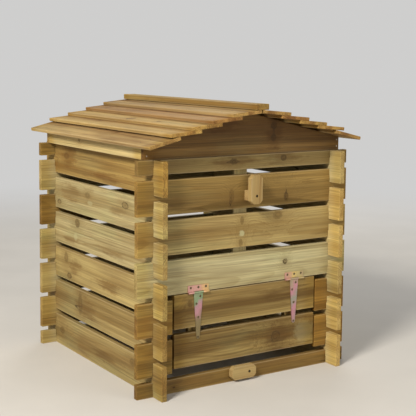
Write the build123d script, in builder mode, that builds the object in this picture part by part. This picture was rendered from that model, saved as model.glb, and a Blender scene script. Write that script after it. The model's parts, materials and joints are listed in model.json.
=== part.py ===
from build123d import *
from math import atan2, cos, degrees, pi, radians, sin, tan
import os

# Beehive compost bin: slatted log-cabin walls, a hatch in the front, a lapped-board lid that lifts off.
# Millimetres, +Z up, the front towards -Y, the ground at Z = 0 under the middle of the bin.

# Driving dimensions of the wall boards
SLAT_H = 98.0           # width of a board, which stands on edge
SLAT_T = 17.0           # thickness of a board
SLAT_GAP = 15.5         # air gap between the boards of one wall
SIDE_ROWS = 6           # whole boards in each side wall
WALL_W = 640.0          # across the outer faces of the side walls
WALL_D = 654.0          # across the outer faces of the front and back walls
SLAT_REACH = 50.0       # board ends past each corner
NOTCH_PLAY = 0.3        # notch width over board thickness

# Driving dimensions of the upright brace behind the front boards
BRACE_W = 47.0
BRACE_T = 17.0
BRACE_X = -18.0         # its middle, left of the bin's middle
BRACE_INSET = 12.0      # its ends inside the boards that it joins

# Driving dimensions of the hatch
HATCH_ROWS = 2          # rows of the front wall that are sawn through for the hatch
HATCH_W = 502.0
HATCH_TOP_GAP = 3.0     # under the board that carries the hinges
HATCH_SIDE_GAP = 5.0    # saw gap to the stubs
BATTEN_W = 40.0
BATTEN_T = 17.0
BATTEN_INSET = 10.0     # batten end above the hatch's lower edge
BATTEN_STOP = 25.0      # batten end above the hinge axis, where it stops against the board in front

# Driving dimensions of the tee hinges
HINGE_INSET = 79.0      # hinge's middle from the hatch's end
LEAF_T = 2.0
KNUCKLE_R = 3.2
KNUCKLE_GAP = 0.5       # end play between knuckles
PIN_R = 1.5
PIN_PLAY = 0.12
PIN_PROUD = 1.0         # pin past the outer knuckles
PLATE_W = 70.0
PLATE_H = 21.0          # above the hinge axis
PLATE_CORNER_R = 2.0
STRAP_W = 31.0          # at the knuckle
STRAP_TIP_W = 11.0
STRAP_REACH = 21.0      # tip below the upper edge of the second hatch board
PLATE_SCREW_STEP = 25.5
PLATE_SCREW_Z = 14.5    # above the hinge axis
STRAP_SCREW_X = 6.5     # stagger of the upper strap screws
STRAP_SCREW_DROPS = (11.0, 31.5, 71.0)      # below the hatch's upper edge

# Driving dimensions of the screws
SCREW_R = 1.75
SCREW_PLAY = 0.12
SCREW_SIDES = 12        # of the hinge screws, which are faceted
PLATE_SCREW_L = 15.0
STRAP_SCREW_L = 30.0
PIVOT_R = 2.4
PIVOT_HEAD_R = 4.0
PIVOT_PLAY = 0.3        # between a pivot screw and the button that turns on it
PIVOT_BITE = 13.0       # length of a pivot screw in the wall board
COUNTERSINK = 90.0      # included angle of the screw heads

# Driving dimensions of the two turn buttons
BUTTON_W = 39.0
BUTTON_L = 85.0
BUTTON_T = 18.0
BUTTON_CUT = 9.5        # corner cuts at both ends
BUTTON_PIVOT = 24.0     # pivot from the short end
BUTTON_PLAY = 0.3       # behind the button
SPACER_H = 30.0
HOLD_X = 4.0
HOLD_LAP = 7.0          # lap over the edge of the open hatch
HOLD_PLAY = 1.0         # spacer over the thickness of the open hatch
OPEN_PLAY = 0.45        # between the edge of the open hatch and the boards that it leans on
LATCH_X = -1.0
LATCH_LIFT = 8.0        # turned latch above the ground

# Driving dimensions of the lid
LID_SIDE_REACH = 25.0   # frame past the side walls
LID_END_INSET = 9.0     # gables behind the outer faces of the front and back walls
LID_T = 17.0
GABLE_END_H = 39.5      # gable height at its two ends
ROOF_PITCH = 13.7       # degrees
ROOF_BOARDS = 5         # on each slope
ROOF_BOARD_W = 100.0
ROOF_BOARD_T = 10.0
EAVE_REACH = 25.0       # roof past the lid frame at the sides
VERGE_REACH = 73.0      # roof past the gables
RIDGE_GAP = 4.0         # between the uppermost boards
RIDGE_W = 44.0
RIDGE_T = 17.0
BLOCK_W = 30.0          # locating blocks inside the corners
BLOCK_T = 17.0
BLOCK_H = 35.0          # on the gable
BLOCK_DROP = 25.0       # inside the walls
BLOCK_PLAY = 4.0        # to the side walls

# Wall sizes that follow
PITCH = SLAT_H + SLAT_GAP
LAP = SLAT_H - PITCH / 2            # height shared by two crossing boards, and height of a half rail
NOTCH_D = LAP / 2
NOTCH_W = SLAT_T + NOTCH_PLAY
WALL_H = (SIDE_ROWS - 1) * PITCH + SLAT_H
FRONT_ROWS = SIDE_ROWS - 1
FRONT_Y = -WALL_D / 2
INNER_Y = FRONT_Y + SLAT_T          # back faces of the front boards
CORNER_X = (WALL_W - SLAT_T) / 2    # centre planes of the side walls
CORNER_Y = (WALL_D - SLAT_T) / 2    # centre planes of the front and back walls
FRONT_END = WALL_W / 2 + SLAT_REACH
SIDE_END = WALL_D / 2 + SLAT_REACH
FRONT = Plane.XZ.offset(-FRONT_Y)   # outer face of the front wall, drawn on as seen from the front
FRONT_INNER = Plane.XZ.offset(-INNER_Y)

# Hatch and hinge sizes that follow
HEADER_Z = (HATCH_ROWS + 0.5) * PITCH           # lower edge of the board that carries the hinges
HATCH_TOP = HEADER_Z - HATCH_TOP_GAP
HATCH_BOTTOM = HATCH_TOP - HATCH_ROWS * PITCH + SLAT_GAP
STUB_END = HATCH_W / 2 + HATCH_SIDE_GAP
HINGE_X = HATCH_W / 2 - HINGE_INSET             # either side of the bin's middle
AXIS_Y = FRONT_Y - KNUCKLE_R
AXIS_Z = HEADER_Z - HATCH_TOP_GAP / 2
OPEN_EDGE = 2 * AXIS_Z - HATCH_BOTTOM           # upper edge of the hatch when it is folded up
OPEN_ANGLE = 180 + degrees(atan2(2 * KNUCKLE_R - OPEN_PLAY, AXIS_Z - HATCH_BOTTOM))
KNUCKLE_END = STRAP_W / 2 + KNUCKLE_GAP         # inner end of a fixed knuckle
STRAP_TIP_Z = HATCH_TOP - PITCH - STRAP_REACH
PILOT_R = SCREW_R + SCREW_PLAY
HEAD_FLARE = LEAF_T * tan(radians(COUNTERSINK / 2))     # the countersinks are as deep as the leaves are thick
SCREW_HEAD_R = SCREW_R + HEAD_FLARE
HEAD_TAPER = degrees(atan2(HEAD_FLARE * cos(pi / SCREW_SIDES), LEAF_T))
HEAD_Y = FRONT_Y - LEAF_T                       # outer face of the hinge leaves
HINGES = {"left": -HINGE_X, "right": HINGE_X}
PLATE_SCREWS = [(step * PLATE_SCREW_STEP, AXIS_Z + PLATE_SCREW_Z) for step in (-1, 0, 1)]
STRAP_SCREWS = [
    (STRAP_SCREW_X, HATCH_TOP - STRAP_SCREW_DROPS[0]),
    (-STRAP_SCREW_X, HATCH_TOP - STRAP_SCREW_DROPS[1]),
    (0, HATCH_TOP - STRAP_SCREW_DROPS[2]),
    (0, STRAP_TIP_Z + STRAP_TIP_W / 2),
]

# Turn button sizes that follow
SPACER_T = SLAT_T + HOLD_PLAY
HOLD_Z = OPEN_EDGE - HOLD_LAP + BUTTON_L - BUTTON_PIVOT
HOLD_BACK_Y = FRONT_Y - SPACER_T - BUTTON_PLAY
LATCH_Z = LATCH_LIFT + BUTTON_W / 2
LATCH_BACK_Y = FRONT_Y - BUTTON_PLAY
PIVOT_PILOT_R = PIVOT_R + SCREW_PLAY
PIVOT_HEAD_H = (PIVOT_HEAD_R - PIVOT_R) / tan(radians(COUNTERSINK / 2))

# Lid sizes that follow
LID_W = WALL_W + 2 * LID_SIDE_REACH
LID_D = WALL_D - 2 * LID_END_INSET
ROOF_L = LID_D + 2 * VERGE_REACH
SLOPE = radians(ROOF_PITCH)

INWARD = (Align.CENTER, Align.CENTER, Align.MAX)        # of a round solid that goes in from its place

os.makedirs("parts", exist_ok=True)


def keep(builder, node):
    builder.part.label = node
    export_step(builder.part, f"parts/{node}.step")


def front_places(points, y=FRONT_Y):
    # Places on a face towards the front, at height y, with their axes pointing out of it
    return [Location((x, y, z), (90, 0, 0)) for x, z in points]


def beside_hinges(points):
    return [(hinge_x + x, z) for hinge_x in HINGES.values() for x, z in points]


# A wall board: drawn on one face, notched half-way into its neighbours at each corner that it crosses
def wall_board(node, face, span, bottom, height, corners, below=True, above=True, screws=None, pivot=None):
    start, end = span
    with BuildPart() as board:
        with BuildSketch(face):
            with Locations(((start + end) / 2, bottom)):
                Rectangle(end - start, height, align=(Align.CENTER, Align.MIN))
            if below:
                with Locations(*[(corner, bottom) for corner in corners]):
                    Rectangle(NOTCH_W, NOTCH_D, align=(Align.CENTER, Align.MIN), mode=Mode.SUBTRACT)
            if above:
                with Locations(*[(corner, bottom + height) for corner in corners]):
                    Rectangle(NOTCH_W, NOTCH_D, align=(Align.CENTER, Align.MAX), mode=Mode.SUBTRACT)
        extrude(amount=SLAT_T)
        if screws:
            with BuildSketch(FRONT):
                with Locations(*screws):
                    RegularPolygon(PILOT_R, SCREW_SIDES)
            extrude(amount=LEAF_T - PLATE_SCREW_L - SCREW_PLAY, mode=Mode.SUBTRACT)
        if pivot:
            with Locations(*front_places([pivot])):
                Hole(PIVOT_PILOT_R, depth=PIVOT_BITE + SCREW_PLAY)
    keep(board, node)


# Side walls: whole boards from the ground up
for side, plane in (("left", Plane.YZ.offset(-WALL_W / 2)), ("right", Plane.YZ.offset(WALL_W / 2 - SLAT_T))):
    for row in range(SIDE_ROWS):
        wall_board(
            f"{side}_slat_{row + 1}", plane, (-SIDE_END, SIDE_END), row * PITCH, SLAT_H, (-CORNER_Y, CORNER_Y)
        )

# Back wall: half rails at the bottom and top, whole boards half a pitch above those of the side walls
BACK = Plane.XZ.offset(-WALL_D / 2)
WHOLE = (-FRONT_END, FRONT_END)
LEFT_STUB = (-FRONT_END, -STUB_END)
RIGHT_STUB = (STUB_END, FRONT_END)
CORNERS = (-CORNER_X, CORNER_X)
wall_board("back_bottom_rail", BACK, WHOLE, 0, LAP, CORNERS, below=False)
for row in range(FRONT_ROWS):
    wall_board(f"back_slat_{row + 1}", BACK, WHOLE, (row + 0.5) * PITCH, SLAT_H, CORNERS)
wall_board("back_top_rail", BACK, WHOLE, WALL_H - LAP, LAP, CORNERS, above=False)

# Front wall: as the back, but the rows of the hatch are sawn off to stubs that their notches hold
wall_board("front_bottom_rail", FRONT_INNER, WHOLE, 0, LAP, CORNERS, below=False, pivot=(LATCH_X, LATCH_Z))
for row in range(FRONT_ROWS):
    row_z = (row + 0.5) * PITCH
    if row < HATCH_ROWS:
        wall_board(f"front_left_stub_{row + 1}", FRONT_INNER, LEFT_STUB, row_z, SLAT_H, CORNERS[:1])
        wall_board(f"front_right_stub_{row + 1}", FRONT_INNER, RIGHT_STUB, row_z, SLAT_H, CORNERS[1:])
    else:
        screws = beside_hinges(PLATE_SCREWS) if row == HATCH_ROWS else None
        pivot = (HOLD_X, HOLD_Z) if row_z < HOLD_Z < row_z + SLAT_H else None
        wall_board(
            f"front_slat_{row + 1}", FRONT_INNER, WHOLE, row_z, SLAT_H, CORNERS, screws=screws, pivot=pivot
        )
wall_board("front_top_rail", FRONT_INNER, WHOLE, WALL_H - LAP, LAP, CORNERS, above=False)

# Upright brace on the back faces of the front boards above the hatch
brace_bottom = HEADER_Z + BRACE_INSET
with BuildPart() as front_brace:
    with BuildSketch(FRONT_INNER):
        with Locations((BRACE_X, brace_bottom)):
            Rectangle(BRACE_W, WALL_H - BRACE_INSET - brace_bottom, align=(Align.CENTER, Align.MIN))
    extrude(amount=-BRACE_T)
keep(front_brace, "front_brace")

# Hatch boards, the lowest first, drilled for the strap screws that pass through them
for row in range(HATCH_ROWS):
    board_z = HATCH_BOTTOM + row * PITCH
    screws_here = [(x, z) for x, z in STRAP_SCREWS if board_z < z < board_z + SLAT_H]
    with BuildPart() as hatch_board:
        with BuildSketch(FRONT_INNER):
            with Locations((0, board_z)):
                Rectangle(HATCH_W, SLAT_H, align=(Align.CENTER, Align.MIN))
        extrude(amount=SLAT_T)
        with BuildSketch(FRONT):
            with Locations(*beside_hinges(screws_here)):
                RegularPolygon(PILOT_R, SCREW_SIDES)
        extrude(amount=-SLAT_T, mode=Mode.SUBTRACT)
    keep(hatch_board, f"hatch_board_{row + 1}")

# Hatch battens: they join the hatch boards and reach up behind the board above, so the hatch stops flush
batten_bottom = HATCH_BOTTOM + BATTEN_INSET
for side, hinge_x in HINGES.items():
    with BuildPart() as batten:
        with BuildSketch(FRONT_INNER):
            with Locations((hinge_x, batten_bottom)):
                Rectangle(BATTEN_W, AXIS_Z + BATTEN_STOP - batten_bottom, align=(Align.CENTER, Align.MIN))
        extrude(amount=-BATTEN_T)
        with BuildSketch(FRONT_INNER):
            with Locations(*[(hinge_x + x, z) for x, z in STRAP_SCREWS]):
                RegularPolygon(PILOT_R, SCREW_SIDES)
        extrude(amount=LEAF_T + SLAT_T - STRAP_SCREW_L - SCREW_PLAY, mode=Mode.SUBTRACT)
    keep(batten, f"hatch_{side}_batten")

# Tee hinges: a fixed plate with two knuckles, a tapered strap with the knuckle between them
for side, hinge_x in HINGES.items():
    knuckle_l = PLATE_W / 2 - KNUCKLE_END
    knuckle_mid = (PLATE_W / 2 + KNUCKLE_END) / 2
    plate_foot = AXIS_Z + KNUCKLE_R + KNUCKLE_GAP
    with BuildPart() as plate:
        with BuildSketch(FRONT) as leaf:
            with Locations((hinge_x, plate_foot)):
                Rectangle(PLATE_W, AXIS_Z + PLATE_H - plate_foot, align=(Align.CENTER, Align.MIN))
            fillet(leaf.vertices().group_by(Axis.Y)[-1], PLATE_CORNER_R)
            with Locations((hinge_x - knuckle_mid, AXIS_Z), (hinge_x + knuckle_mid, AXIS_Z)):
                Rectangle(knuckle_l, plate_foot - AXIS_Z, align=(Align.CENTER, Align.MIN))
        extrude(amount=LEAF_T)
        with BuildSketch(Plane.YZ.offset(hinge_x - PLATE_W / 2)):
            with Locations((AXIS_Y, AXIS_Z)):
                Circle(KNUCKLE_R)
        extrude(amount=knuckle_l)
        with BuildSketch(Plane.YZ.offset(hinge_x + KNUCKLE_END)):
            with Locations((AXIS_Y, AXIS_Z)):
                Circle(KNUCKLE_R)
        extrude(amount=knuckle_l)
        with BuildSketch(Plane.YZ.offset(hinge_x - PLATE_W / 2)):
            with Locations((AXIS_Y, AXIS_Z)):
                Circle(PIN_R + PIN_PLAY)
        extrude(amount=PLATE_W, mode=Mode.SUBTRACT)
        with Locations(*front_places([(hinge_x + x, z) for x, z in PLATE_SCREWS], HEAD_Y)):
            Cone(PILOT_R, PILOT_R + HEAD_FLARE, LEAF_T, align=INWARD, mode=Mode.SUBTRACT)
    keep(plate, f"{side}_hinge_plate")

    with BuildPart() as strap:
        with BuildSketch(FRONT):
            with BuildLine():
                tip_z = STRAP_TIP_Z + STRAP_TIP_W / 2
                tip_left = (hinge_x - STRAP_TIP_W / 2, tip_z)
                tip_right = (hinge_x + STRAP_TIP_W / 2, tip_z)
                Polyline(tip_left, (hinge_x - STRAP_W / 2, HATCH_TOP), (hinge_x - STRAP_W / 2, AXIS_Z))
                Line((hinge_x - STRAP_W / 2, AXIS_Z), (hinge_x + STRAP_W / 2, AXIS_Z))
                Polyline((hinge_x + STRAP_W / 2, AXIS_Z), (hinge_x + STRAP_W / 2, HATCH_TOP), tip_right)
                ThreePointArc(tip_right, (hinge_x, STRAP_TIP_Z), tip_left)
            make_face()
        extrude(amount=LEAF_T)
        with BuildSketch(Plane.YZ.offset(hinge_x - STRAP_W / 2)):
            with Locations((AXIS_Y, AXIS_Z)):
                Circle(KNUCKLE_R)
        extrude(amount=STRAP_W)
        with BuildSketch(Plane.YZ.offset(hinge_x - STRAP_W / 2)):
            with Locations((AXIS_Y, AXIS_Z)):
                Circle(PIN_R + PIN_PLAY)
        extrude(amount=STRAP_W, mode=Mode.SUBTRACT)
        with Locations(*front_places([(hinge_x + x, z) for x, z in STRAP_SCREWS], HEAD_Y)):
            Cone(PILOT_R, PILOT_R + HEAD_FLARE, LEAF_T, align=INWARD, mode=Mode.SUBTRACT)
    keep(strap, f"{side}_hinge_strap")

# Hinge pins
with BuildPart() as hinge_pins:
    for hinge_x in HINGES.values():
        with BuildSketch(Plane.YZ.offset(hinge_x - PLATE_W / 2 - PIN_PROUD)):
            with Locations((AXIS_Y, AXIS_Z)):
                Circle(PIN_R)
        extrude(amount=PLATE_W + 2 * PIN_PROUD)
keep(hinge_pins, "hinge_pins")


# A set of countersunk hinge screws, with their heads flush in the leaves
def hinge_screws(node, points, length):
    with BuildPart() as screws:
        with BuildSketch(Plane.XZ.offset(-HEAD_Y)):
            with Locations(*points):
                RegularPolygon(SCREW_HEAD_R, SCREW_SIDES)
        extrude(amount=-LEAF_T, taper=HEAD_TAPER)
        with BuildSketch(FRONT):
            with Locations(*points):
                RegularPolygon(SCREW_R, SCREW_SIDES)
        extrude(amount=LEAF_T - length)
    keep(screws, node)


hinge_screws("hinge_plate_screws", beside_hinges(PLATE_SCREWS), PLATE_SCREW_L)
hinge_screws("hatch_screws", beside_hinges(STRAP_SCREWS), STRAP_SCREW_L)

# Countersunk screws on which the two turn buttons turn
with BuildPart() as pivot_screws:
    for x, z, back_y in ((HOLD_X, HOLD_Z, HOLD_BACK_Y), (LATCH_X, LATCH_Z, LATCH_BACK_Y)):
        with Locations(*front_places([(x, z)], back_y - BUTTON_T)):
            Cone(PIVOT_R, PIVOT_HEAD_R, PIVOT_HEAD_H, align=INWARD)
            Cylinder(PIVOT_R, FRONT_Y + PIVOT_BITE - back_y + BUTTON_T, align=INWARD)
keep(pivot_screws, "pivot_screws")

# Spacer block that sets the hold-open button in front of the folded hatch
with BuildPart() as hold_open_spacer:
    with BuildSketch(FRONT):
        with Locations((HOLD_X, HOLD_Z)):
            Rectangle(BUTTON_W, SPACER_H)
    extrude(amount=SPACER_T)
    with Locations(*front_places([(HOLD_X, HOLD_Z)], FRONT_Y - SPACER_T)):
        Hole(PIVOT_PILOT_R, depth=SPACER_T)
keep(hold_open_spacer, "hold_open_spacer")


# A turn button: a block with cut corners that turns on a screw near one end and points along the angle given
def turn_button(node, x, z, back_y, angle):
    pointing = (cos(radians(angle)), 0, sin(radians(angle)))
    back = Plane(origin=(x, back_y, z), x_dir=pointing, z_dir=(0, -1, 0))
    with BuildPart() as button:
        with BuildSketch(back) as outline:
            with Locations((BUTTON_L / 2 - BUTTON_PIVOT, 0)):
                Rectangle(BUTTON_L, BUTTON_W)
            chamfer(outline.vertices(), BUTTON_CUT)
        extrude(amount=BUTTON_T)
        with Locations(*front_places([(x, z)], back_y - BUTTON_T)):
            CounterSinkHole(PIVOT_R + PIVOT_PLAY, PIVOT_HEAD_R + PIVOT_PLAY, BUTTON_T, COUNTERSINK)
    keep(button, node)


turn_button("hold_open_button", HOLD_X, HOLD_Z, HOLD_BACK_Y, 90)
turn_button("latch_button", LATCH_X, LATCH_Z, LATCH_BACK_Y, 180)


# Height of the sloping upper edge of the gables
def slope_z(x):
    return WALL_H + GABLE_END_H + (LID_W / 2 - abs(x)) * tan(SLOPE)


# Gables, which stand on the walls and carry the roof
gable_face_y = LID_D / 2
for node, y in (("lid_front_gable", -gable_face_y + LID_T), ("lid_back_gable", gable_face_y)):
    with BuildPart() as gable:
        with BuildSketch(Plane.XZ.offset(-y)):
            with BuildLine():
                Polyline(
                    (-LID_W / 2, WALL_H),
                    (LID_W / 2, WALL_H),
                    (LID_W / 2, slope_z(LID_W / 2)),
                    (0, slope_z(0)),
                    (-LID_W / 2, slope_z(LID_W / 2)),
                    close=True,
                )
            make_face()
        extrude(amount=LID_T)
    keep(gable, node)

# Side rails of the lid frame, between the gables, with sloping upper edges under the eave boards
for node, side in (("lid_left_rail", -1), ("lid_right_rail", 1)):
    outer_x = LID_W / 2
    inner_x = outer_x - LID_T
    with BuildPart() as rail:
        with BuildSketch(Plane.XZ):
            with BuildLine():
                Polyline(
                    (side * inner_x, WALL_H),
                    (side * outer_x, WALL_H),
                    (side * outer_x, slope_z(outer_x)),
                    (side * inner_x, slope_z(inner_x)),
                    close=True,
                )
            make_face()
        extrude(amount=LID_D / 2 - LID_T, both=True)
    keep(rail, node)

# Locating blocks on the gables, which drop inside the walls and keep the lid in place
block_x = WALL_W / 2 - SLAT_T - BLOCK_PLAY - BLOCK_W / 2
block_y = gable_face_y - LID_T - BLOCK_T / 2
with BuildPart() as lid_locating_blocks:
    with BuildSketch(Plane.XY.offset(WALL_H - BLOCK_DROP)):
        with GridLocations(2 * block_x, 2 * block_y, 2, 2):
            Rectangle(BLOCK_W, BLOCK_T)
    extrude(amount=BLOCK_DROP + BLOCK_H)
keep(lid_locating_blocks, "lid_locating_blocks")

# Roof boards: the eave board lies on the gables' slope, each board above it stands with its upper edge
# on the slope and leans on the upper edge of the board below
eave_x = LID_W / 2 + EAVE_REACH - ROOF_BOARD_T * sin(SLOPE) - ROOF_BOARD_W * cos(SLOPE)
board_step = (eave_x - RIDGE_GAP / 2) / (ROOF_BOARDS - 1)
tilt = SLOPE
for row in range(ROOF_BOARDS):
    edge_x = eave_x - row * board_step
    if row:
        tilt = atan2(slope_z(edge_x) - lean_z, lean_x - edge_x)
    for name, side in (("left", -1), ("right", 1)):
        board_plane = Plane(
            origin=(side * edge_x, 0, slope_z(edge_x)),
            x_dir=(side * cos(tilt), 0, -sin(tilt)),
            z_dir=(0, -side, 0),
        )
        with BuildPart() as roof_board:
            with BuildSketch(board_plane):
                Rectangle(ROOF_BOARD_W, ROOF_BOARD_T, align=(Align.MIN, Align.MIN))
            extrude(amount=ROOF_L / 2, both=True)
        keep(roof_board, f"roof_{name}_{row + 1}")
    lean_x = edge_x + ROOF_BOARD_T * sin(tilt)
    lean_z = slope_z(edge_x) + ROOF_BOARD_T * cos(tilt)

# Ridge batten over the joint of the two uppermost boards
with BuildPart() as ridge_batten:
    with BuildSketch(Plane.XZ):
        with Locations((0, lean_z)):
            Rectangle(RIDGE_W, RIDGE_T, align=(Align.CENTER, Align.MIN))
    extrude(amount=ROOF_L / 2, both=True)
keep(ridge_batten, "ridge_batten")

# Places that describe the finished part
print(f"wall height {WALL_H:.2f}, overall height {lean_z + RIDGE_T:.2f}, roof tilt {degrees(tilt):.2f}")
print(f"hinge axis y {AXIS_Y:.2f} z {AXIS_Z:.2f}, hatch z {HATCH_BOTTOM:.2f} to {HATCH_TOP:.2f}")
print(f"open hatch at {OPEN_ANGLE:.2f} degrees, upper edge z {OPEN_EDGE:.2f}")
print(f"hold-open pivot x {HOLD_X:.2f} z {HOLD_Z:.2f}, latch pivot x {LATCH_X:.2f} z {LATCH_Z:.2f}")
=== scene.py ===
import json
import math
import random

import bmesh
import bpy
from mathutils import Matrix, Vector
from mathutils.bvhtree import BVHTree


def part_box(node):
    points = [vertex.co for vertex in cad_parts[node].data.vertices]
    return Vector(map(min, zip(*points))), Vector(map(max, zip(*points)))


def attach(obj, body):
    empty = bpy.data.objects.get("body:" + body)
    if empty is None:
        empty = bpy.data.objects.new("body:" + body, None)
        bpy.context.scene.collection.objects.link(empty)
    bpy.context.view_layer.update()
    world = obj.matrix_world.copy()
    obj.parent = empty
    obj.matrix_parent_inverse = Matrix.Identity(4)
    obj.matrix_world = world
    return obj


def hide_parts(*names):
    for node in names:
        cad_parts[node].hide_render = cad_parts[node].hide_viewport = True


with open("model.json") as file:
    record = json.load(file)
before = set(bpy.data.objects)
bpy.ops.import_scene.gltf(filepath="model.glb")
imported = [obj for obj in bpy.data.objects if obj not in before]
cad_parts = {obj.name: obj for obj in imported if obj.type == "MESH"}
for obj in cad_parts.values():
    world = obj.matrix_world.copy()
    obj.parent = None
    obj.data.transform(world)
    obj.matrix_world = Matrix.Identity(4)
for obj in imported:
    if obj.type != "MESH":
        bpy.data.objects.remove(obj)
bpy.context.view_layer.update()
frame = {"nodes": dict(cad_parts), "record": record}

nodes = frame["nodes"]
chance = random.Random(7)

# Eased edges of the boards, in metres and degrees
EDGE_RADIUS = 0.0016
BUTTON_EDGE_RADIUS = 0.0012
EDGE_SEGMENTS = 3
EDGE_ANGLE = 40                     # edges sharper than this are eased
FLAT_ANGLE = 1                      # triangles within this angle are joined to one face first
WELD_GAP = 1e-5

# The log that a board is cut from, in metres
LOG_TAPER = 0.014                   # growth of a ring's radius along each metre of board
RING_WIDTHS = (0.0032, 0.0052)
RING_TREMOR = 0.0014
RING_UNEVEN = 1.6                   # years by which rings run early or late
PITH_ACROSS = 0.075                 # how far the heart of the log may lie from the middle of a board's width
PITH_DEPTHS = (0.04, 0.10)          # and from the middle of its thickness
PITH_WANDER = (0.0, 0.034, 0.034)
SEEDS = (1, 40)                     # range of the draw that sets a board's place in the noise
SEED_STEP = 5.3                     # shift of the grain for each whole number of that draw
SEED_SPREAD = (0.37, 0.73)          # of that shift, across and through the board
ROOF_TILTS = (0.01, 0.5)            # sideways parts of the normal between which a board lies on a slope

# Tones of the timber in screen values: earlywood, latewood, and the share of green bloom and brown stain
TONES = {
    # cream: lightened to paint sunlight on the right slats' front ends
    "cream": ((210, 191, 136), (172, 145, 90), 0.22, 0.14),
    "pale": ((192, 178, 131), (150, 130, 84), 0.4, 0.2),
    "straw": ((182, 161, 105), (138, 112, 62), 0.3, 0.3),
    "honey": ((174, 147, 85), (128, 97, 47), 0.2, 0.36),
    "brown": ((154, 127, 69), (107, 83, 39), 0.14, 0.4),
    # dark: also paints the shade of the roof's overhang on the front gable
    "dark": ((134, 104, 58), (92, 67, 33), 0.1, 0.4),
    "tan": ((188, 160, 106), (132, 101, 61), 0.14, 0.5),
    "gold": ((196, 168, 106), (144, 110, 61), 0.16, 0.4),
    "russet": ((178, 142, 90), (122, 87, 49), 0.1, 0.5),
    "planed": ((178, 153, 101), (144, 114, 66), 0.16, 0.1),
    # olive: darkened to paint the shade of the roof's overhang on the front top rail
    "olive": ((145, 126, 79), (106, 86, 48), 0.3, 0.3),
    "amber": ((164, 131, 67), (120, 89, 39), 0.08, 0.3),
    "umber": ((139, 111, 57), (100, 75, 33), 0.08, 0.4),
    "light": ((193, 184, 141), (151, 135, 91), 0.4, 0.2),
    "banded": ((166, 143, 87), (103, 79, 38), 0.2, 0.3),
    "dun": ((172, 151, 98), (129, 104, 57), 0.3, 0.3),
    "ochre": ((168, 140, 80), (120, 94, 47), 0.14, 0.36),
}
BLOOM = (158, 160, 112)
STAIN = (112, 80, 42)
CHECK = (60, 43, 24)
KNOT_RIM = (66, 50, 28)
PALE_KNOT = (192, 189, 144)
ARRIS_WEAR_AND_HIGHLIGHT = (0.62, 0.5, 0.31, 1.0)      # rubbed edges with a painted highlight, as a linear colour
TIP_SHADE = (0.92, 0.84, 0.6)       # of a board's colour, towards its ends
BLOT_SHADE = (0.72, 0.60, 0.48)     # of the latewood's colour

# Tones of the boards that the photograph shows, some darkened as painted shade and some lightened as painted
# sunlight; the others are drawn by chance
BOARD_TONES = {
    "left_slat_6": "honey", "left_slat_5": "pale", "left_slat_4": "pale",
    "left_slat_3": "straw", "left_slat_2": "dun", "left_slat_1": "dun",
    # the front top rail's olive tone is darkened to paint the shade of the roof's overhang
    "front_top_rail": "olive", "front_slat_5": "ochre", "front_slat_4": "straw", "front_slat_3": "light",
    "front_bottom_rail": "umber", "front_brace": "pale",
    "front_right_stub_1": "amber", "front_right_stub_2": "amber",
    "hatch_board_2": "banded", "hatch_board_1": "banded",
    # the right slats' pale and cream tones are lightened to paint sunlight on their front ends
    "right_slat_6": "pale", "right_slat_5": "cream", "right_slat_4": "cream",
    "right_slat_3": "pale", "right_slat_2": "cream", "right_slat_1": "cream",
    # the front gable's dark tone also paints the shade of the roof's overhang
    "lid_front_gable": "dark", "lid_left_rail": "cream", "ridge_batten": "honey",
    "hold_open_button": "planed", "latch_button": "planed", "hold_open_spacer": "planed",
}
CHANCE_TONES = ("straw", "honey", "pale", "honey", "straw", "brown")
ROOF_TONES = {"1": "tan", "2": "gold", "3": "gold", "4": "russet", "5": "tan"}

# Pieces without knots, sawn lines and dark ends, and those whose grain stands upright
CLEAR_BOARDS = ("hold_open_button", "latch_button", "hold_open_spacer", "lid_locating_blocks")
GRAIN_ALONG_Z = ("lid_locating_blocks",)

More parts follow.
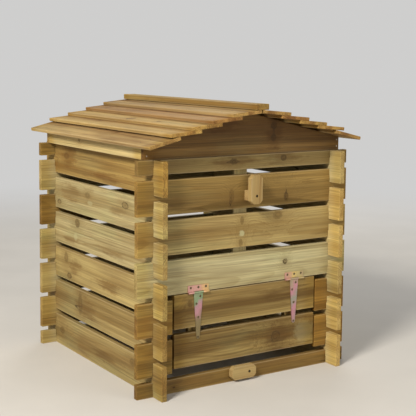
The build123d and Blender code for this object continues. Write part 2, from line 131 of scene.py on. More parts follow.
# Knots of those boards: place along and across the board from its middle and radius, in metres, height over
# width, and look
KNOTS = {
    "left_slat_6": [
        (0.224, 0.012, 0.018, 0.6, "soft"), (0.205, 0.012, 0.018, 0.6, "blot"),
        (-0.05, -0.03, 0.03, 0.2, "blot"),
    ],
    "left_slat_5": [
        (0.075, 0.017, 0.016, 0.6, "soft"), (0.058, -0.006, 0.018, 0.4, "streak"),
        (-0.166, 0.017, 0.018, 0.5, "ring"), (0.279, -0.028, 0.014, 0.5, "ring"),
        (0.19, 0.010, 0.026, 0.36, "blot"), (0.07, 0.018, 0.016, 0.6, "blot"),
        (-0.11, -0.004, 0.02, 0.3, "blot"),
    ],
    "left_slat_4": [
        (0.147, 0.034, 0.015, 0.9, "dark"), (0.10, -0.001, 0.075, 0.04, "streak"),
        (0.16, -0.012, 0.012, 1.1, "streak"), (-0.08, -0.022, 0.03, 0.16, "blot"),
        (0.20, -0.024, 0.02, 0.2, "blot"),
    ],
    "left_slat_3": [
        (0.207, -0.033, 0.015, 0.55, "ring"), (0.230, 0.024, 0.014, 1.2, "soft"),
        (0.16, 0.002, 0.018, 0.45, "blot"), (-0.06, -0.016, 0.03, 0.2, "blot"),
    ],
    "left_slat_2": [
        (0.128, 0.006, 0.014, 2.4, "soft"), (-0.27, 0.03, 0.006, 1.0, "soft"),
        (0.09, 0.0, 0.024, 0.5, "blot"),
    ],
    "left_slat_1": [
        (0.262, 0.002, 0.016, 0.7, "soft"), (-0.211, 0.02, 0.016, 0.7, "soft"),
        (-0.04, -0.01, 0.026, 0.25, "blot"),
    ],
    "front_top_rail": [
        (-0.054, 0.004, 0.012, 0.7, "dark"), (-0.053, 0.004, 0.006, 0.8, "crack"),
        (-0.056, 0.003, 0.022, 0.16, "crack"), (-0.054, 0.004, 0.03, 0.2, "blot"),
        (0.126, 0.007, 0.011, 0.8, "dark"), (0.127, 0.007, 0.0055, 0.8, "crack"),
        (0.128, 0.007, 0.028, 0.3, "blot"),
    ],
    "front_slat_5": [
        (0.137, -0.024, 0.008, 1.5, "dark"), (0.137, -0.022, 0.004, 2.2, "ring"),
        (0.138, -0.020, 0.0032, 5.0, "crack"), (0.10, 0.006, 0.020, 0.8, "swirl"),
        (-0.06, -0.010, 0.008, 2.4, "soft"), (-0.064, -0.026, 0.0035, 3.4, "crack"),
    ],
    "front_slat_4": [
        (-0.022, -0.009, 0.009, 1.0, "pale"), (-0.022, 0.030, 0.006, 2.0, "soft"),
        (-0.026, -0.036, 0.007, 1.6, "soft"), (0.108, 0.036, 0.016, 0.8, "soft"),
    ],
    "front_slat_3": [(0.138, 0.006, 0.0085, 0.9, "ring"), (0.138, 0.005, 0.0045, 0.9, "ring")],
    "hatch_board_2": [(-0.199, 0.02, 0.008, 1.2, "soft"), (0.13, 0.012, 0.03, 0.3, "blot")],
    "hatch_board_1": [
        (0.106, -0.006, 0.017, 1.0, "faint"), (0.106, -0.006, 0.008, 1.0, "faint"),
        (0.116, -0.010, 0.018, 0.8, "blot"), (0.125, 0.008, 0.010, 0.9, "blot"),
        (0.215, -0.004, 0.04, 0.9, "glow"),
    ],
    "lid_front_gable": [
        (0.095, 0.02, 0.010, 1.0, "ring"), (0.094, -0.015, 0.009, 1.1, "ring"),
        (0.094, 0.0, 0.0035, 7.0, "crack"), (0.098, 0.003, 0.011, 1.8, "blot"),
        (-0.1, 0.03, 0.03, 0.3, "blot"),
    ],
}

# What each look shows of a knot: core, rim, darker wood round it, push on the rings, brown blot, pale face
KNOT_LOOKS = {
    "dark": {"Core": 0.9, "Rim": 0.6, "Halo": 0.8, "Bulge": 1.0},
    "ring": {"Core": 0.65, "Rim": 0.9, "Halo": 0.7, "Bulge": 1.0},
    "soft": {"Core": 0.58, "Rim": 0.2, "Halo": 0.55, "Bulge": 0.8},
    "faint": {"Core": 0.25, "Rim": 0.55, "Halo": 0.15, "Bulge": 1.0},
    "pale": {"Pale": 0.65, "Rim": 0.35, "Halo": 0.5, "Bulge": 0.8},
    "swirl": {"Halo": 0.6, "Bulge": 1.3},
    "crack": {"Core": 0.7, "Rim": 0.85},
    "streak": {"Pale": 0.35},
    "glow": {"Pale": 0.2},
    "blot": {"Blot": 1.0},
}
KNOT_FIELDS = {"Core": "Core", "Rim": "Rim", "Halo": "Halo", "Bulge": "Bulge", "Blot": "Halo", "Pale": "Core"}

# Knots drawn by chance: how many, their places and radii over half the board's size, their shapes and looks
CHANCE_COUNTS = (1, 3)
CHANCE_ALONG = (-0.85, 0.85)
CHANCE_ACROSS = (-0.6, 0.6)
CHANCE_RADII = (0.16, 0.3)
CHANCE_SHAPES = (0.5, 0.6, 0.8, 1.0)
CHANCE_LOOKS = ("soft", "ring", "dark")

# Bands of heartwood along some of those boards: place across the board, half its width, depth of tone
HEARTS = {
    "hatch_board_2": (-0.010, 0.023, 0.5),
    "hatch_board_1": (0.010, 0.032, 0.75),
    "left_slat_5": (0.012, 0.018, 0.4),
    "left_slat_4": (-0.022, 0.01, 0.45),
    "left_slat_2": (0.006, 0.02, 0.4),
    "left_slat_1": (-0.004, 0.018, 0.5),
    "front_slat_5": (-0.010, 0.030, 0.3),
    "lid_front_gable": (0.03, 0.06, 0.35),
}
ROOF_SHADE = (0.014, 0.014, 0.5)    # the same for painted shade along a roof board's lap, under the edge of the board above, towards the ridge
HEART_PLACES = (-1, 1)              # ranges for the other boards, the first two over half the board's width
HEART_HALVES = (0.3, 0.6)
HEART_DEPTHS = (-0.1, 0.4)

# Noise in the timber: cycles per metre along, across and through the board, and detail
GRAIN = {
    "wander": ((1.7, 4.0, 4.0), 2.0),
    "tremor": ((7.0, 80.0, 80.0), 2.0),
    "uneven": ((70.0, 1.0, 1.0), 1.0),
    "year": ((0.73, 1.0, 1.0), 0.0),
    "fibre": ((7.0, 420.0, 420.0), 3.0),
    "streak": ((0.9, 46.0, 46.0), 3.0),
    "broad": ((1.1, 19.0, 19.0), 2.0),
    "patch": ((3.6, 9.0, 9.0), 4.0),
    "damp": ((3.2, 13.0, 13.0), 4.0),
    "lean": ((2.2, 9.0, 9.0), 2.0),
    "torn": ((9.0, 80.0, 80.0), 4.0),
    "coarse": ((2.6, 210.0, 210.0), 3.0),
    "seam": ((0.7, 18.0, 12.0), 0.0),
    "pores": ((60.0, 700.0, 700.0), 2.0),
    "saw": ((520.0, 9.0, 9.0), 1.0),
    "ragged": ((60.0, 90.0, 40.0), 2.0),
    "frayed": ((150.0, 260.0, 150.0), 2.0),
}
NOISE_MIDDLE = 0.5
NOISE_SPAN = (0.3, 0.7)             # most values of a noise lie between these
DAMP_SHIFT = (3.1, 1.7, 0.4)        # keeps the stains apart from the bloom
SAWN_SHIFT = (1.9, 0.6, 2.3)        # keeps the sawn lines apart from the fibres

# Knots: where their parts start and end, in radii from the middle
CORE_SPAN = (1.25, 0.65)
HALO_SPAN = (4.5, 0.8)
RIM_AT = 0.95
RIM_SPAN = (0.3, 0.05)
RIM_SIDES, RIM_SHARES = (0.4, 0.6), (0.25, 1.0)     # a rim fades on some sides
KNOT_BEND = 0.7                     # how far coarse noise bends a knot's outline
KNOT_FRAY = 0.7                     # and fine noise
KNOT_FALL = 0.13                    # how fast the push on the rings falls off
KNOT_PUSH = 2.4                     # push on the rings over the knot's radius
KNOT_RING = 0.00032                 # metres of push for each radian of the rings in a knot
KNOT_TONES = (0.48, 0.74)           # darkest and lightest ring in a knot, of the latewood's colour
KNOT_WARMTH = (0.93, 0.84)          # of that, in green and blue
HALO_DEPTH = 0.45

# Timber: where its patterns start and end, and how strong they are
LATE_RISE, LATE_FALL = (0.3, 0.88), (1.0, 0.93)     # latewood within a year
YEAR_SHARES = (0.35, 1.0)
LATE_SHARE = 0.38
STREAK_MIDDLE, STREAK_SHARE = 0.42, 1.7
BROAD_SHARE = 1.7
SHARE_SPAN = (-0.4, 1.1)
BAND_LEAN = 0.05                   # metres by which a band of heartwood sways, and the band of painted shade on a roof board
BAND_SPAN = (1.25, 0.75)
BLOOM_SPAN = (0.5, 0.72)
STAIN_SPAN = (0.48, 0.72)
STAIN_AT_KNOTS = 0.16
BLOT_TEAR, BLOT_REACH = 1.7, 0.6
BLOT_SPAN = (0.95, 1.6)
BLOT_DEPTH = 0.75
FIBRE_TONES = (0.88, 1.09)
SAWN_TONES = (0.8, 1.2)             # darkest and lightest line of a sawn face
SAWN_SPAN, SAWN_SHARES = (0.38, 0.6), (0.35, 1.0)
CHECK_WIDTH, CHECK_SPAN = (0.005, 0.0015), (0.58, 0.64)
CHECK_DEPTH = 0.7
ARRIS_SPAN = (0.0052, 0.0024)       # metres from the edge
ARRIS_FRAY = 0.003
ARRIS_DEPTH = 0.22
TIP_SPAN = (0.08, 0.04)             # metres from the end
TIP_FRAY = 0.05
END_SPAN = (0.6, 0.9)               # how squarely a face looks along the board
END_TONE, END_CONTRAST, END_WARMTH = 0.82, 0.34, 1.05
RELIEF = (0.5, 0.18, 0.12, -1.4, -0.25)     # rise of fibres, latewood, saw marks, checks and knots
LATE_SHINE = 0.4
ROUGH_SPAN, ROUGHNESS = (0.0, 0.8), (0.66, 0.9)
TIMBER_BUMP = {"Strength": 0.5, "Distance": 0.0012}
TIMBER_GLOSS = 0.28

# Yellow zinc plate: tints in screen values along a plate or up a strap
PLATE_TINTS = {
    "left": ((0.0, (206, 158, 150)), (0.55, (210, 162, 150)), (0.8, (220, 180, 130)), (1.0, (208, 178, 118))),
    "right": (
        (0.0, (202, 156, 146)), (0.25, (210, 168, 140)), (0.5, (220, 194, 124)), (0.75, (202, 184, 128)),
        (1.0, (186, 164, 128)),
    ),
}
STRAP_TINTS = {
    "left": (
        # the left strap's two lowest stops are darkened to olive brown as painted shade over its lower part
        (0.0, (140, 124, 86)), (0.38, (142, 128, 94)), (0.6, (196, 144, 154)), (0.72, (184, 148, 150)),
        (0.84, (138, 164, 126)), (1.0, (150, 162, 128)),
    ),
    "right": (
        (0.0, (172, 152, 146)), (0.3, (202, 144, 158)), (0.52, (160, 164, 146)), (0.76, (206, 146, 158)),
        (1.0, (184, 164, 138)),
    ),
}
PLATE_TILT, STRAP_TILT = 0.0, -6.0  # slant of the tints
FILM_NOISE, FILM_DRIFT = ((46.0, 46.0, 40.0), 2.0), 0.5
SPECK_NOISE = ((900.0, 900.0, 900.0), 2.0)
SPECK_SPAN, SPECK_TONES = (0.35, 0.65), (0.84, 1.06)
SHEEN_NOISE, SHEEN = ((70.0, 70.0, 240.0), 3.0), (0.3, 0.5)
FILM_METALLIC = 0.75
FILM_BUMP = {"Strength": 0.12, "Distance": 0.0002}

# Plain zinc plate: tone in screen values and roughness
ZINCS = {
    "screw_plate": ((128, 114, 88), 0.34),
    "pin_plate": ((190, 158, 122), 0.36),
    "pivot_plate": ((74, 62, 44), 0.5),
    "nail_plate": ((112, 100, 80), 0.45),
    "gable_nail_plate": ((164, 152, 134), 0.4),
}
MOTTLE_NOISE = ((420.0, 420.0, 420.0), 3.0)
MOTTLE_TONES = (0.72, 1.05)
MOTTLE_DULL = 0.12                  # added roughness of the dull spots

# Screws, as shares of the radius of the head or the shank
SCREW_SIDES = 24
SCREW_LIP = 0.08
SCREW_EDGE = 0.6                    # bevel of the lip, of its height
SCREW_TIP = 0.5                     # radius of the tip, of the shank's
SCREW_POINT = 2                     # length of the point, of the shank's radius
RECESS_ARM, RECESS_WAIST, RECESS_DEPTH = 0.58, 0.15, 0.5
RECESS_FLOOR = 0.62                 # size of the recess at its floor
HINGE_SHANK, PIVOT_SHANK = 0.47, 0.6

# Nails, in metres, and the radius and height of each ring of a head over its radius
NAIL_SIDES = 12
NAIL_PROFILE = ((0.45, -2.5), (1.0, -0.5), (1.0, 0.02), (0.6, 0.12))
NAIL_RADIUS = 0.0022
ROOF_NAILS = (0.020, 0.050)         # from the lower edge of a roof board
ROOF_NAIL_SWAY = (-0.004, 0.004)    # off the middle of the gable
GABLE_NAILS = (0.011, 0.031)        # above the lower edge of a gable
BATTEN_NAILS = (-0.022, 0.022)      # up from the middle of a board, on a batten

# Stage
FLOOR_TONE = (214, 212, 208)
FLOOR_TINTS = (0.97, 1.02)
FLOOR_NOISE = ((3.0, 3.0, 3.0), 3.0)
FLOOR_ROUGHNESS, FLOOR_GLOSS = 0.9, 0.1
FLOOR_RADIUS, FLOOR_SIDES = 14.0, 96
FADE = (1.8, 4.4)                   # metres from the middle, where the floor turns into the backdrop
BACKDROP = 0.62                     # linear level of the backdrop
BACKDROP_TINT = (1, 0.995, 0.985, 1)
SKY_LEVEL = 0.33

# Lamps: place, width, power, tone
LAMPS = {
    "key": ((-3.3, -1.9, 3.1), 1.2, 208, (255, 247, 234)),
    "back": ((2.9, 3.1, 2.6), 2.2, 55, (255, 250, 242)),
    "fill": ((1.6, -4.2, 1.2), 3.0, 45, (255, 248, 238)),
}
LAMP_AIM = (0, 0, 0.4)

# Camera of the photograph, from a fit to the corners of the boards
CAMERA_PLACE = (-1.6772, -2.6542, 0.9490)
CAMERA_YAW, CAMERA_PITCH, CAMERA_ROLL = 32.359, 5.975, 0.447
CAMERA_LENS, CAMERA_SENSOR = 86.09, 36.0
CAMERA_SHIFT = (0.0433, -0.1154)


def srgb(tone):
    """A tone in screen values of 0 to 255, as linear RGBA."""
    def linear(value):
        value /= 255
        return value / 12.92 if value <= 0.04045 else ((value + 0.055) / 1.055) ** 2.4
    return (*map(linear, tone), 1.0)


class Graph:
    """Adds nodes to a tree. A value given to a node is a number, a vector, a colour or a node's output."""

    def __init__(self, tree):
        self.tree = tree

    def put(self, socket, value):
        if isinstance(value, bpy.types.NodeSocket):
            self.tree.links.new(value, socket)
        else:
            socket.default_value = value

    def node(self, kind, values=(), **settings):
        made = self.tree.nodes.new(kind)
        for name, setting in settings.items():
            setattr(made, name, setting)
        for name, value in dict(values).items():
            self.put(made.inputs[name], value)
        return made

    def math(self, operation, *values):
        made = self.node("ShaderNodeMath", enumerate(values), operation=operation)
        return made.outputs[0]

    def plus(self, value, other, share):
        """A value plus a share of another."""
        return self.math("ADD", value, self.math("MULTIPLY", other, share))

    def centred(self, noise, width):
        """Noise of this width about zero."""
        return self.math("MULTIPLY", self.math("SUBTRACT", noise, NOISE_MIDDLE), width)

    def vector(self, operation, *values):
        made = self.node("ShaderNodeVectorMath", enumerate(values), operation=operation)
        return made.outputs["Value" if operation == "LENGTH" else "Vector"]

    def split(self, vector):
        return self.node("ShaderNodeSeparateXYZ", {0: vector}).outputs

    def join(self, x, y, z):
        return self.node("ShaderNodeCombineXYZ", {0: x, 1: y, 2: z}).outputs[0]

    def ease(self, value, low, high, to_low=0.0, to_high=1.0):
        ends = {"From Min": low, "From Max": high, "To Min": to_low, "To Max": to_high}
        made = self.node("ShaderNodeMapRange", {"Value": value, **ends}, interpolation_type="SMOOTHSTEP")
        return made.outputs[0]

    def mix(self, share, first, second, blend="MIX"):
        made = self.node("ShaderNodeMix", {0: share, 6: first, 7: second}, data_type="RGBA", blend_type=blend)
        return made.outputs[2]

    def tint(self, colour, tint):
        """A colour times another."""
        return self.mix(1.0, colour, tint, "MULTIPLY")

    def shade(self, colour, level):
        """A colour times a level."""
        return self.tint(colour, self.join(level, level, level))

    def noise(self, place, scale, detail, output=0):
        stretched = self.vector("MULTIPLY", place, scale)
        made = self.node("ShaderNodeTexNoise", {"Vector": stretched, "Scale": 1.0, "Detail": detail})
        return made.outputs[output]


def new_group(name, inputs, outputs):
    """A shader group with these sockets; returns its graph, its inputs by name and its output node."""
    tree = bpy.data.node_groups.new(name, "ShaderNodeTree")
    for socket, kind in inputs:
        tree.interface.new_socket(socket, in_out="INPUT", socket_type=f"NodeSocket{kind}")
    for socket, kind in outputs:
        tree.interface.new_socket(socket, in_out="OUTPUT", socket_type=f"NodeSocket{kind}")
    return Graph(tree), tree.nodes.new("NodeGroupInput").outputs, tree.nodes.new("NodeGroupOutput").inputs


def make_knot_group():
    """A knot through a board: its push on the rings, its core, its dark rim and the darker wood round it."""
    inputs = (
        ("Place", "Vector"), ("Along", "Float"), ("Across", "Float"), ("Radius", "Float"), ("Tall", "Float"),
    )
    outputs = (("Bulge", "Float"), ("Core", "Float"), ("Rim", "Float"), ("Halo", "Float"))
    graph, given, made = new_group("knot", inputs, outputs)
    m = graph.math
    along, across, _ = graph.split(given["Place"])
    ragged = graph.noise(given["Place"], *GRAIN["ragged"])
    frayed = graph.noise(given["Place"], *GRAIN["frayed"])
    dx = m("SUBTRACT", along, given["Along"])
    dy = m("DIVIDE", m("SUBTRACT", across, given["Across"]), given["Tall"])
    away = m("SQRT", m("ADD", m("MULTIPLY", dx, dx), m("MULTIPLY", dy, dy)))
    away = m("MULTIPLY", away, graph.plus(1 - KNOT_BEND / 2, ragged, KNOT_BEND))
    ratio = m("DIVIDE", away, given["Radius"])
    ratio = m("ADD", ratio, graph.centred(frayed, KNOT_FRAY))
    swell = m("POWER", math.e, m("MULTIPLY", m("MULTIPLY", ratio, ratio), -KNOT_FALL))
    girth = m("MULTIPLY", given["Radius"], m("MINIMUM", given["Tall"], 1.0))
    graph.put(made["Bulge"], m("MULTIPLY", swell, m("MULTIPLY", girth, KNOT_PUSH)))
    graph.put(made["Core"], graph.ease(ratio, *CORE_SPAN))
    band = m("ABSOLUTE", m("SUBTRACT", ratio, RIM_AT))
    one_sided = graph.ease(ragged, *RIM_SIDES, *RIM_SHARES)
    graph.put(made["Rim"], m("MULTIPLY", graph.ease(band, *RIM_SPAN), one_sided))
    graph.put(made["Halo"], graph.ease(ratio, *HALO_SPAN))
    return graph.tree


def make_timber_group():
    """Sawn softwood cut from a log: rings about a pith, fibres, knots, bloom, stains, checks and end grain,
    with arrises lightened by wear and a painted highlight, and painted shade along a roof board's lap.

    Place is the point along, across and through the board from its middle, and Facing the normal in those
    directions. Sawn is 1 for a board with sawn lines and dark ends, and 0 for a clear one.
    """
    inputs = (
        ("Place", "Vector"), ("Facing", "Vector"), ("Half", "Vector"), ("HeartAndLapShade", "Vector"),
        ("Pith", "Vector"), ("Bulge", "Float"), ("Core", "Float"), ("Rim", "Float"), ("Halo", "Float"),
        ("Pale", "Float"), ("Blot", "Float"), ("Seed", "Float"), ("Ring", "Float"), ("Bloom", "Float"),
        ("Stain", "Float"), ("Sawn", "Float"), ("Early", "Color"), ("Late", "Color"),
    )
    outputs = (("Color", "Color"), ("Roughness", "Float"), ("Height", "Float"))
    graph, given, made = new_group("sawn_timber", inputs, outputs)
    m = graph.math
    seed = given["Seed"]
    shift = graph.join(seed, *[m("MULTIPLY", seed, share) for share in SEED_SPREAD])
    place = graph.vector("ADD", given["Place"], shift)
    along, across, _ = graph.split(given["Place"])

    # Rings: the distance from a wandering pith, stretched round knots, cut into years of uneven width
    wander = graph.noise(place, *GRAIN["wander"], output="Color")
    wander = graph.vector("SUBTRACT", wander, (NOISE_MIDDLE, NOISE_MIDDLE, NOISE_MIDDLE))
    wander = graph.vector("MULTIPLY", wander, PITH_WANDER)
    section = graph.vector("SUBTRACT", graph.vector("ADD", given["Place"], wander), given["Pith"])
    section = graph.vector("MULTIPLY", section, (0.0, 1.0, 1.0))
    radius = graph.plus(graph.vector("LENGTH", section), along, LOG_TAPER)
    radius = m("ADD", radius, graph.centred(graph.noise(place, *GRAIN["tremor"]), RING_TREMOR))
    radius = m("ADD", radius, given["Bulge"])
    uneven = graph.noise(graph.join(radius, seed, seed), *GRAIN["uneven"])
    years = graph.plus(m("DIVIDE", radius, given["Ring"]), uneven, RING_UNEVEN)
    season = m("FRACT", years)
    late = m("MULTIPLY", graph.ease(season, *LATE_RISE), graph.ease(season, *LATE_FALL))
    year_tone = graph.noise(graph.join(m("FLOOR", years), seed, 0.0), *GRAIN["year"])
    late = m("MULTIPLY", late, graph.ease(year_tone, *NOISE_SPAN, *YEAR_SHARES))

    # Streaks, heartwood and the painted shade along a roof board's lap: how much of the latewood's colour
    # shows
    fibre = graph.noise(place, *GRAIN["fibre"])
    streak = graph.noise(place, *GRAIN["streak"])
    broad = graph.noise(place, *GRAIN["broad"])
    band_at, band_half, band_depth = graph.split(given["HeartAndLapShade"])
    lean = graph.centred(graph.noise(place, *GRAIN["lean"]), BAND_LEAN)
    from_band = m("ABSOLUTE", m("SUBTRACT", m("ADD", across, lean), band_at))
    heart_and_lap_shade = graph.ease(m("DIVIDE", from_band, band_half), *BAND_SPAN)
    streaks = m("MULTIPLY", m("SUBTRACT", streak, STREAK_MIDDLE), STREAK_SHARE)
    share = m("ADD", m("MULTIPLY", late, LATE_SHARE), streaks)
    share = m("ADD", share, graph.centred(broad, BROAD_SHARE))
    share = m("ADD", share, m("MULTIPLY", heart_and_lap_shade, band_depth))
    colour = graph.mix(graph.ease(share, *SHARE_SPAN), given["Early"], given["Late"])

    # Bloom, stains, blots, fibres and sawn lines
    patch = graph.noise(place, *GRAIN["patch"])
    bloom = m("MULTIPLY", graph.ease(patch, *BLOOM_SPAN), given["Bloom"])
    colour = graph.mix(bloom, colour, srgb(BLOOM))
    damp = graph.noise(graph.vector("ADD", place, DAMP_SHIFT), *GRAIN["damp"])
    damp = graph.plus(damp, given["Halo"], STAIN_AT_KNOTS)
    stain = m("MULTIPLY", graph.ease(damp, *STAIN_SPAN), given["Stain"])
    colour = graph.mix(stain, colour, srgb(STAIN))
    torn = m("MULTIPLY", graph.noise(place, *GRAIN["torn"]), BLOT_TEAR)
    blot = graph.ease(graph.plus(torn, given["Blot"], BLOT_REACH), *BLOT_SPAN)
    blot_colour = graph.tint(given["Late"], (*BLOT_SHADE, 1.0))
    colour = graph.mix(m("MULTIPLY", blot, BLOT_DEPTH), colour, blot_colour)
    colour = graph.shade(colour, graph.ease(fibre, *NOISE_SPAN, *FIBRE_TONES))
    coarse = graph.noise(graph.vector("ADD", place, SAWN_SHIFT), *GRAIN["coarse"])
    lined = m("MULTIPLY", graph.ease(patch, *SAWN_SPAN, *SAWN_SHARES), given["Sawn"])
    colour = graph.mix(lined, colour, graph.shade(colour, graph.ease(coarse, *NOISE_SPAN, *SAWN_TONES)))

    # Knots, drying checks along the grain, arrises lightened by wear and a painted highlight, and dark board
    # ends
    colour = graph.mix(m("MULTIPLY", given["Halo"], HALO_DEPTH), colour, given["Late"])
    ring = graph.ease(m("SINE", m("DIVIDE", given["Bulge"], KNOT_RING)), -1.0, 1.0, *KNOT_TONES)
    ring_tint = graph.join(ring, *[m("MULTIPLY", ring, share) for share in KNOT_WARMTH])
    colour = graph.mix(given["Core"], colour, graph.tint(given["Late"], ring_tint))
    colour = graph.mix(given["Rim"], colour, srgb(KNOT_RIM))
    colour = graph.mix(given["Pale"], colour, srgb(PALE_KNOT))
    seam = m("ABSOLUTE", m("SUBTRACT", graph.noise(place, *GRAIN["seam"]), NOISE_MIDDLE))
    check = m("MULTIPLY", graph.ease(seam, *CHECK_WIDTH), graph.ease(patch, *CHECK_SPAN))
    colour = graph.mix(m("MULTIPLY", check, CHECK_DEPTH), colour, srgb(CHECK))
    spare = graph.split(graph.vector("SUBTRACT", given["Half"], graph.vector("ABSOLUTE", given["Place"])))
    # the arrises are lightened as wear and as a painted highlight
    arris_wear_and_highlight = graph.ease(graph.plus(m("ADD", spare[1], spare[2]), fibre, ARRIS_FRAY), *ARRIS_SPAN)
    colour = graph.mix(m("MULTIPLY", arris_wear_and_highlight, ARRIS_DEPTH), colour, ARRIS_WEAR_AND_HIGHLIGHT)
    tip = graph.ease(graph.plus(spare[0], streak, TIP_FRAY), *TIP_SPAN)
    colour = graph.mix(m("MULTIPLY", tip, given["Sawn"]), colour, graph.tint(colour, (*TIP_SHADE, 1.0)))
    end = graph.ease(m("ABSOLUTE", graph.split(given["Facing"])[0]), *END_SPAN)
    pores = graph.noise(place, *GRAIN["pores"])
    end_tone = graph.plus(END_TONE, m("SUBTRACT", pores, late), END_CONTRAST)
    end_tint = graph.join(m("MULTIPLY", end_tone, END_WARMTH), end_tone, end_tone)
    colour = graph.mix(end, colour, graph.tint(colour, end_tint))
    graph.put(made["Color"], colour)

    # Surface: raised latewood, torn fibres and the faint marks of the saw across the board
    saw = graph.noise(place, *GRAIN["saw"])
    height = 0.0
    for pattern, rise in zip((fibre, late, saw, check, given["Core"]), RELIEF):
        height = graph.plus(height, pattern, rise)
    graph.put(made["Height"], height)
    graph.put(made["Roughness"], graph.ease(graph.plus(fibre, late, -LATE_SHINE), *ROUGH_SPAN, *ROUGHNESS))
    return graph.tree


KNOT_GROUP = make_knot_group()
TIMBER_GROUP = make_timber_group()


def new_material(name):
    """A node material; returns it with its graph, its shader's inputs and its coordinates."""
    material = bpy.data.materials.new(name)
    material.use_nodes = True
    graph = Graph(material.node_tree)
    shader = material.node_tree.nodes["Principled BSDF"].inputs
    coordinates = graph.node("ShaderNodeTexCoord").outputs
    return material, graph, shader, coordinates


def lie_of(node):
    """A board's middle, the turn about Y that levels it, its axes along, across and through, and half sizes.

    The half sizes are in the order of the levelled board's own axes.
    """
    mesh = nodes[node].data
    widest = max(mesh.polygons, key=lambda polygon: polygon.area).normal
    low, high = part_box(node)
    middle = (low + high) / 2
    slight, steep = ROOF_TILTS
    tilted = slight < abs(widest.x) < steep < abs(widest.z)
    turn = -math.atan2(widest.x, abs(widest.z)) * math.copysign(1, widest.z) if tilted else 0.0
    level = Matrix.Rotation(turn, 3, "Y")
    places = [level @ (vertex.co - middle) for vertex in mesh.vertices]
    half = [max(abs(place[axis]) for place in places) for axis in range(3)]
    axes = sorted(range(3), key=lambda axis: -half[axis])
    if node in GRAIN_ALONG_Z:
        axes = [2, 0, 1]
    return middle, turn, axes, half


def timber_material(node, tone, knots):
    """The finish of one board, cut from its own place in a log."""
    material, graph, shader, coordinates = new_material(f"timber_{node}")
    middle, turn, axes, half = lie_of(node)
    seed = chance.uniform(*SEEDS) * SEED_STEP
    place = graph.vector("SUBTRACT", coordinates["Object"], middle)
    facing = coordinates["Normal"]
    if turn:
        about_y = {"Axis": (0, 1, 0), "Angle": turn}
        place = graph.node("ShaderNodeVectorRotate", {"Vector": place, **about_y}).outputs[0]
        facing = graph.node("ShaderNodeVectorRotate", {"Vector": facing, **about_y}).outputs[0]
    parts, sides = graph.split(place), graph.split(facing)
    place = graph.join(*[parts[axis] for axis in axes])
    facing = graph.join(*[sides[axis] for axis in axes])

    fields = dict.fromkeys(KNOT_FIELDS, 0.0)
    for along, across, radius, tall, look in knots:
        values = {"Place": place, "Along": along, "Across": across, "Radius": radius, "Tall": tall}
        knot = graph.node("ShaderNodeGroup", values, node_tree=KNOT_GROUP)
        for name, weight in KNOT_LOOKS[look].items():
            shown = graph.math("MULTIPLY", knot.outputs[KNOT_FIELDS[name]], weight)
            fields[name] = graph.math("ADD" if name == "Bulge" else "MAXIMUM", fields[name], shown)

    early, late, bloom, stain = TONES[tone]
    width = half[axes[1]]
    drawn = [chance.uniform(*span) for span in (HEART_PLACES, HEART_HALVES, HEART_DEPTHS)]
    heart_and_lap_shade = HEARTS.get(node, (drawn[0] * width, drawn[1] * width, drawn[2]))
    # a roof board's band is painted shade along its lap, under the edge of the board above
    if node.startswith("roof_"):
        heart_and_lap_shade = (math.copysign(ROOF_SHADE[0], -middle.x), *ROOF_SHADE[1:])
    pith_across = chance.uniform(-PITH_ACROSS, PITH_ACROSS)
    pith_depth = chance.choice((-1, 1)) * chance.uniform(*PITH_DEPTHS)
    values = {
        **fields, "Place": place, "Facing": facing, "Half": [half[axis] for axis in axes],
        "HeartAndLapShade": heart_and_lap_shade, "Pith": (0, pith_across, pith_depth), "Ring": chance.uniform(*RING_WIDTHS),
        "Early": srgb(early), "Late": srgb(late), "Bloom": bloom, "Stain": stain,
        "Seed": seed, "Sawn": 0.0 if node in CLEAR_BOARDS else 1.0,
    }
    timber = graph.node("ShaderNodeGroup", values, node_tree=TIMBER_GROUP).outputs
    bump = graph.node("ShaderNodeBump", {"Height": timber["Height"], **TIMBER_BUMP})
    graph.put(shader["Base Color"], timber["Color"])
    graph.put(shader["Roughness"], timber["Roughness"])
    graph.put(shader["Normal"], bump.outputs[0])
    graph.put(shader["Specular IOR Level"], TIMBER_GLOSS)
    return material


def chance_knots(node):
    """Knots at places drawn by chance; the short stubs keep none of theirs."""
    if node in CLEAR_BOARDS:
        return []
    _, _, axes, half = lie_of(node)
    length, width = half[axes[0]], half[axes[1]]
    drawn = [
        (
            chance.uniform(*CHANCE_ALONG) * length,
            chance.uniform(*CHANCE_ACROSS) * width,
            chance.uniform(*CHANCE_RADII) * width,
            chance.choice(CHANCE_SHAPES),
            chance.choice(CHANCE_LOOKS),
        )
        for _ in range(chance.randint(*CHANCE_COUNTS))
    ]
    return [] if "stub" in node else drawn


def ease_edges(piece, radius):
    """Rounds the arrises of a board, on faces joined back from their triangles."""
    weld = piece.modifiers.new("weld", "WELD")
    weld.merge_threshold = WELD_GAP
    flat = piece.modifiers.new("flat", "DECIMATE")
    flat.decimate_type = "DISSOLVE"
    flat.angle_limit = math.radians(FLAT_ANGLE)
    bevel = piece.modifiers.new("eased", "BEVEL")
    bevel.width = radius
    bevel.segments = EDGE_SEGMENTS
    bevel.limit_method = "ANGLE"
    bevel.angle_limit = math.radians(EDGE_ANGLE)


def dress_boards():
    """Gives every board of the record its own timber and eased edges."""
    slots = {part["node"]: part["material_slot"] for part in frame["record"]["subparts"]}
    for node in sorted(nodes):
        if not slots[node].endswith("timber"):
            continue
        drawn = chance.choice(CHANCE_TONES)
        tone = ROOF_TONES[node[-1]] if node.startswith("roof_") else BOARD_TONES.get(node, drawn)
        knots = KNOTS.get(node) or chance_knots(node)
        nodes[node].material_slots[0].material = timber_material(node, tone, knots)
        ease_edges(nodes[node], BUTTON_EDGE_RADIUS if slots[node] == "button_timber" else EDGE_RADIUS)


